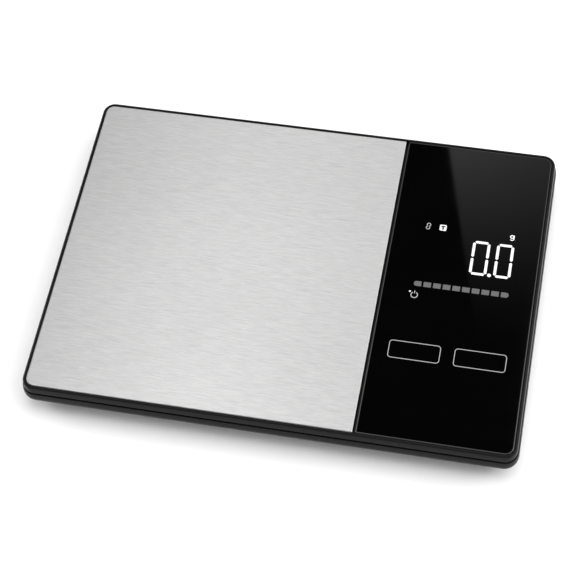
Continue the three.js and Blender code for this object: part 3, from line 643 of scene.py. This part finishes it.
def top_frame():
    """Rim with a rounded foot, a leaning wall and a rounded lip, and the bar between the plates."""
    section = [(FRAME_BOTTOM_Z + rise, inset) for rise, inset in FRAME_FOOT]
    section += [(TOP_Z - drop, inset) for drop, inset in FRAME_LIP]
    section += [(LEDGE_Z, RECESS_INSET), (LEDGE_Z, LEDGE_INSET), (FRAME_BOTTOM_Z, LEDGE_INSET)]
    bm = bmesh.new()
    loft(bm, [(housing_outline(inset), z) for z, inset in section], close_ring=True)
    steel_high = box_mm("steel_platform")[1]
    add_box(
        bm, steel_high.x - BRIDGE_LEFT, steel_high.x + BRIDGE_RIGHT,
        -HALF_Y + BRIDGE_INSET, HALF_Y - BRIDGE_INSET,
        FRAME_BOTTOM_Z + BRIDGE_GAP, LEDGE_Z - BRIDGE_GAP)
    return show(finish_mesh("top_frame", bm, PLASTIC), "base", "housing_plastic", "upper_frame")


def battery_door():
    """Sliding cover that follows the bowl of the housing at its outer end, with finger ridges."""
    low, high = box_mm("battery_cover")
    middle_y = (low.y + high.y) / 2
    bm = bmesh.new()
    add_box(bm, low.x, high.x, low.y + COVER_TONGUE, high.y - COVER_TONGUE, low.z - BEYOND, high.z)
    door = finish_mesh("battery_door", bm, PLASTIC)

    def tongues(bm):
        tongue_z = high.z - COVER_TONGUE_HEIGHT
        add_box(bm, low.x, high.x, low.y, high.y, tongue_z, high.z - COVER_TONGUE_DROP)

    def skin(bm):
        levels = bowl(box_mm("lower_shell")[0].z, WIDEST_Z, 0.0, BOWL_INSET)
        loft(bm, [(housing_outline(inset), z) for z, inset in levels])

    def ridges(bm):
        for index in range(RIDGE_COUNT):
            x = low.x + RIDGE_START + index * RIDGE_PITCH
            add_box(
                bm, x, x + RIDGE_WIDTH, middle_y - RIDGE_HALF, middle_y + RIDGE_HALF,
                0.0, low.z + RIDGE_DEPTH)

    boolean(door, "UNION", tongues)
    boolean(door, "INTERSECT", skin)
    boolean(door, "DIFFERENCE", ridges)
    shade(door.data)
    return show(door, "battery_cover", "housing_plastic", "battery_cover")


def rubber_foot(index):
    """Round foot with a rounded rim and a ring-shaped groove in its sole."""
    low, high = box_mm(f"foot_{index}")
    centre = (low + high) / 2
    radius = (high.x - low.x) / 2
    profile = [(radius, high.z)]
    profile += [(radius - inside, height) for inside, height in FOOT_PROFILE]
    profile.append((FOOT_CENTRE_RADIUS, 0.0))
    bm = bmesh.new()
    loft(bm, [(circle(centre.x, centre.y, r, FOOT_STEPS), z) for r, z in profile])
    foot = finish_mesh(f"rubber_foot_{index}", bm, RUBBER)
    return show(foot, "base", "foot_rubber", f"foot_{index}")


# ---- Plates --------------------------------------------------------------------------------------


def plate_outline(low, high, inset, left_radius, right_radius):
    radii = [
        max(r - inset, LEAST_PLATE_CORNER) for r in (right_radius, left_radius, left_radius, right_radius)
    ]
    return rounded_rect(low.x + inset, high.x - inset, low.y + inset, high.y - inset, radii)


def edged_plate(name, node, material, edge, left_radius, right_radius, top_z):
    """Plate with a rounded top edge."""
    low, high = box_mm(node)
    levels = [
        (PLATE_FOOT_BEVEL + FLAT_MARGIN, low.z), (PLATE_FOOT_BEVEL, low.z), (0.0, low.z + PLATE_FOOT_BEVEL),
    ]
    levels += [(inset, top_z - drop) for inset, drop in reversed(edge)]
    levels.append((edge[0][0] + FLAT_MARGIN, top_z))
    bm = bmesh.new()
    loft(bm, [(plate_outline(low, high, inset, left_radius, right_radius), z) for inset, z in levels])
    return finish_mesh(name, bm, material)


def weighing_plate():
    plate = edged_plate(
        "weighing_plate", "steel_platform", STEEL, STEEL_EDGE, PLATE_CORNER, SQUARE_CORNER, TOP_Z)
    return show(plate, "platform", "brushed_steel", "steel_platform")


def control_glass():
    glass = edged_plate(
        "control_glass", "glass_panel", GLASS, GLASS_EDGE, SQUARE_CORNER, PLATE_CORNER, GLASS_TOP_Z)
    return show(glass, "base", "black_glass", "glass_panel")


# ---- Display and printed marks -------------------------------------------------------------------


def mark(name, build, material):
    """A thin lit or printed mark on the glass; build(bm) adds its outlines."""
    bm = bmesh.new()
    build(bm)
    return show(finish_mesh(name, bm, material), "base", "black_glass")


def patch(bm, points, lift=0.0):
    loft(bm, [(points, MARK_Z0), (points, MARK_Z1 + lift)])


def stroke(bm, points, width, closed=False):
    """Ribbon of a given width along a line of points."""
    count = len(points)
    left, right = [], []
    for i, (x, y) in enumerate(points):
        before = points[(i - 1) % count] if closed or i > 0 else points[i]
        after = points[(i + 1) % count] if closed or i < count - 1 else points[i]
        direction = Vector((after[0] - before[0], after[1] - before[1])).normalized()
        normal = Vector((-direction.y, direction.x)) * width / 2
        left.append((x + normal.x, y + normal.y))
        right.append((x - normal.x, y - normal.y))
    pairs = count if closed else count - 1
    rows = [[bm.verts.new((x, y, z)) for x, y in side] for side in (left, right) for z in (MARK_Z0, MARK_Z1)]
    left_low, left_high, right_low, right_high = rows
    for i in range(pairs):
        j = (i + 1) % count
        bm.faces.new((left_high[i], right_high[i], right_high[j], left_high[j]))
        bm.faces.new((left_low[j], right_low[j], right_low[i], left_low[i]))
        bm.faces.new((left_low[i], left_high[i], left_high[j], left_low[j]))
        bm.faces.new((right_low[j], right_high[j], right_high[i], right_low[i]))
    if not closed:
        for i in (0, count - 1):
            bm.faces.new((left_low[i], right_low[i], right_high[i], left_high[i]))


def segment(bm, start, end):
    """One bar of a digit, with pointed ends."""
    first, last = Vector(start), Vector(end)
    along = (last - first).normalized()
    across = Vector((-along.y, along.x)) * SEGMENT_WIDTH / 2
    tip = along * SEGMENT_GAP
    shoulder = along * (SEGMENT_GAP + SEGMENT_SHOULDER)
    patch(bm, [
        tuple(first + tip), tuple(first + shoulder - across), tuple(last - shoulder - across),
        tuple(last - tip), tuple(last - shoulder + across), tuple(first + shoulder + across),
    ])


def digit_zero(bm, left, right):
    segment(bm, (left, DIGIT_TOP), (right, DIGIT_TOP))
    segment(bm, (left, DIGIT_BOTTOM), (right, DIGIT_BOTTOM))
    for x in (left, right):
        segment(bm, (x, DIGIT_MIDDLE), (x, DIGIT_TOP))
        segment(bm, (x, DIGIT_BOTTOM), (x, DIGIT_MIDDLE))


def unit_sign(bm):
    """Small bold g: a bowl, a stem on its right and a tail below."""
    x, y = UNIT_CENTRE
    stroke(bm, arc(x - 0.15, y + 0.35, UNIT_BOWL, 0, 360)[:-1], UNIT_LINE, closed=True)
    stroke(bm, [(x + 0.72, y + 1.2), (x + 0.72, y - 0.75)], UNIT_LINE)
    stroke(bm, arc(x - 0.08, y - 0.72, UNIT_TAIL, -5, -150, 14), UNIT_TAIL_LINE)


def tare_tile(bm):
    x, y = TARE_CENTRE
    patch(bm, rounded_rect(
        x - TARE_HALF, x + TARE_HALF, y - TARE_HALF, y + TARE_HALF, [TARE_CORNER] * 4, MARK_CORNER_STEPS))


def tare_letter(bm):
    """Dark T over the tile: a crossbar and a stem."""
    x, y = TARE_CENTRE
    for half_width, bottom, top in TARE_LETTER:
        left, right = x - half_width, x + half_width
        patch(
            bm, [(left, y + bottom), (right, y + bottom), (right, y + top), (left, y + top)],
            TARE_LETTER_LIFT)


def link_icon(bm):
    """Two open rings, one above the other, each gripping the next."""
    x, y = LINK_CENTRE
    for side, start in ((1, LINK_START), (-1, LINK_START + 180)):
        ring = arc(
            x + side * LINK_OFFSET[0], y + side * LINK_OFFSET[1], LINK_RADIUS, start, start + LINK_SPAN)
        stroke(bm, ring, LINK_LINE)


def bar_step(bm, index):
    """One step of the bar; the bar's two outer ends are round."""
    pitch = (BAR_RIGHT - BAR_LEFT + BAR_GAP) / BAR_COUNT
    x0 = BAR_LEFT + index * pitch
    x1 = x0 + pitch - BAR_GAP
    left = BAR_END_CORNER if index == 0 else BAR_CORNER
    right = BAR_END_CORNER if index == BAR_COUNT - 1 else BAR_CORNER
    patch(bm, rounded_rect(
        x0, x1, BAR_Y - BAR_HALF, BAR_Y + BAR_HALF, [right, left, left, right], MARK_CORNER_STEPS))


def power_icon(bm):
    """Open ring with a short stem in its gap."""
    x, y = POWER_CENTRE
    stroke(bm, arc(x, y, POWER_RADIUS, *POWER_ARC, 30), POWER_LINE)
    stroke(bm, [(x, y + rise) for rise in POWER_STEM], POWER_STEM_LINE)


# The outline's grey print is drawn glowing: painted light.
def key_outline(bm, left):
    outline = rounded_rect(left, left + KEY_WIDTH, KEY_Y0, KEY_Y1, [KEY_CORNER] * 4, KEY_CORNER_STEPS)
    stroke(bm, outline, KEY_LINE, closed=True)


def display_marks():
    for index, (left, right) in enumerate(DIGIT_COLUMNS):
        mark(f"digit_{index + 1}", lambda bm: digit_zero(bm, left, right), DISPLAY_WHITE)
    mark("decimal_point", lambda bm: patch(bm, circle(*POINT_CENTRE, POINT_RADIUS, 24)), DISPLAY_WHITE)
    mark("unit_sign", unit_sign, DISPLAY_WHITE)
    mark("tare_tile", tare_tile, DISPLAY_WHITE)
    mark("tare_letter", tare_letter, GLASS)
    mark("link_icon", link_icon, ICON_GREY)
    for index in range(BAR_COUNT):
        mark(f"bar_step_{index + 1}", lambda bm: bar_step(bm, index), BAR_GREY)
    mark("power_icon", power_icon, ICON_GREY)
    mark("power_dot", lambda bm: patch(bm, circle(*POWER_DOT_CENTRE, POWER_DOT_RADIUS, 20)), DISPLAY_WHITE)
    for index, left in enumerate(KEY_LEFTS):
        mark(f"key_outline_{index + 1}", lambda bm: key_outline(bm, left), GLOWING_KEY_PRINT)


# ---- Stage ---------------------------------------------------------------------------------------


def floor():
    bm = bmesh.new()
    bmesh.ops.create_grid(bm, x_segments=4, y_segments=4, size=FLOOR_HALF_SIDE)
    look = grained("pale_floor", (0.92, 0.92, 0.92), 0.01, 0.9, 30, 0.01, specular=0.1)
    finish_mesh("floor", bm, look)


class Sums:
    """Arithmetic on shader values, written as method calls."""

    def __init__(self, tree):
        self.tree = tree

    def math(self, operation, first, second=0.0):
        node = self.tree.nodes.new("ShaderNodeMath")
        node.operation = operation
        for socket, value in zip(node.inputs, (first, second)):
            if isinstance(value, bpy.types.NodeSocket):
                self.tree.links.new(value, socket)
            else:
                socket.default_value = value
        return node.outputs[0]

    def add(self, first, second):
        return self.math("ADD", first, second)

    def times(self, first, *others):
        for other in others:
            first = self.math("MULTIPLY", first, other)
        return first

    def over(self, first, second):
        return self.math("DIVIDE", first, second)

    def blend(self, first, second, share):
        """First where share is 0, second where it is 1."""
        return self.add(self.times(first, self.math("SUBTRACT", 1.0, share)), self.times(second, share))

    def ramp(self, value, ramp, smooth=True):
        node = self.tree.nodes.new("ShaderNodeMapRange")
        node.interpolation_type = "SMOOTHSTEP" if smooth else "LINEAR"
        for name, number in zip(("From Min", "From Max", "To Min", "To Max"), ramp):
            node.inputs[name].default_value = number
        self.tree.links.new(value, node.inputs["Value"])
        return node.outputs["Result"]


def world():
    """The studio's sky, which is all its light.

    The steel and the glass mirror a white tent that fades to the right, the far and the near side. Bright
    sides far left and far right light the floor. A near strip and a small lamp towards the near right corner
    draw the edges of the housing. The glass mirrors a dark opening with a pale wedge in it. An even band
    round the horizon keeps low views plain.
    """
    scene = bpy.context.scene
    scene.world = bpy.data.worlds.new("studio")
    scene.world.use_nodes = True
    tree = scene.world.node_tree
    background = tree.nodes["Background"]
    sums = Sums(tree)
    coordinates = tree.nodes.new("ShaderNodeTexCoord")
    parts = tree.nodes.new("ShaderNodeSeparateXYZ")
    tree.links.new(coordinates.outputs["Generated"], parts.inputs[0])
    x, y, z = parts.outputs["X"], parts.outputs["Y"], parts.outputs["Z"]
    up = sums.math("MAXIMUM", z, LEAST_UP)
    across = sums.over(x, up)
    along = sums.over(y, up)

    slant = sums.add(across, sums.times(along, TENT_LEAN))
    tent = sums.math("MAXIMUM", sums.ramp(slant, TENT_RISE), sums.ramp(across, TENT_LEFT_FILL))
    tent = sums.times(
        tent, sums.ramp(slant, TENT_FADE_RIGHT),
        sums.ramp(along, TENT_FADE_FAR), sums.ramp(y, TENT_FADE_NEAR))

    sides = sums.times(
        sums.ramp(sums.math("ABSOLUTE", across), SIDE_RISE),
        sums.ramp(y, SIDE_NEAR_END), sums.ramp(y, SIDE_FAR_END))

    strip = sums.times(
        sums.ramp(y, STRIP_NEAR_EDGE), sums.ramp(y, STRIP_FAR_EDGE),
        sums.ramp(sums.math("ABSOLUTE", x), STRIP_ENDS))
    corner = tree.nodes.new("ShaderNodeVectorMath")
    corner.operation = "DOT_PRODUCT"
    corner.inputs[1].default_value = CORNER_LAMP_DIRECTION
    tree.links.new(coordinates.outputs["Generated"], corner.inputs[0])
    edge_lights = sums.add(strip, sums.ramp(corner.outputs["Value"], CORNER_LAMP))
    tent = sums.add(sums.add(tent, sides), sums.times(edge_lights, STRIP_LEVEL))

    edge = sums.add(across, sums.times(along, WEDGE_LEAN))
    rise = sums.math("POWER", sums.ramp(along, WEDGE_RISE, smooth=False), WEDGE_POWER)
    glow = sums.times(rise, sums.ramp(edge, WEDGE_FADE, smooth=False))
    opening_light = sums.add(sums.times(sums.ramp(edge, WEDGE_EDGE), glow), OPENING_LEVEL)
    opening = sums.times(
        sums.ramp(across, OPENING_LEFT), sums.ramp(across, OPENING_RIGHT),
        sums.ramp(along, OPENING_NEAR), sums.ramp(along, OPENING_FAR))

    level = sums.blend(tent, opening_light, opening)
    level = sums.blend(level, HORIZON_LEVEL, sums.ramp(z, HORIZON_BAND))
    tree.links.new(level, background.inputs["Color"])
    background.inputs["Strength"].default_value = SKY_STRENGTH


def camera():
    """The photograph's camera: it looks at the target, then rolls about its own axis."""
    data = bpy.data.cameras.new("photo_view")
    data.sensor_width = VIEW_SENSOR
    data.lens = VIEW_LENS
    data.shift_x = VIEW_SHIFT_X
    data.clip_start = 0.01
    obj = bpy.data.objects.new("photo_view", data)
    bpy.context.scene.collection.objects.link(obj)
    azimuth, elevation = math.radians(VIEW_AZIMUTH), math.radians(VIEW_ELEVATION)
    back = Vector((
        math.sin(azimuth) * math.cos(elevation),
        -math.cos(azimuth) * math.cos(elevation),
        math.sin(elevation),
    ))
    obj.location = Vector(VIEW_TARGET) / 1000 + back * mm(VIEW_DISTANCE)
    level = (-back).to_track_quat("-Z", "Y").to_matrix().to_4x4()
    obj.rotation_mode = "QUATERNION"
    obj.rotation_quaternion = (level @ Matrix.Rotation(math.radians(VIEW_ROLL), 4, "Z")).to_quaternion()
    bpy.context.scene.camera = obj


camera()
world()
floor()
bpy.context.scene.view_settings.view_transform = "Standard"

dress_cad_nodes()
lower_housing()
top_frame()
weighing_plate()
control_glass()
battery_door()
for number in range(1, 5):
    rubber_foot(number)
display_marks()
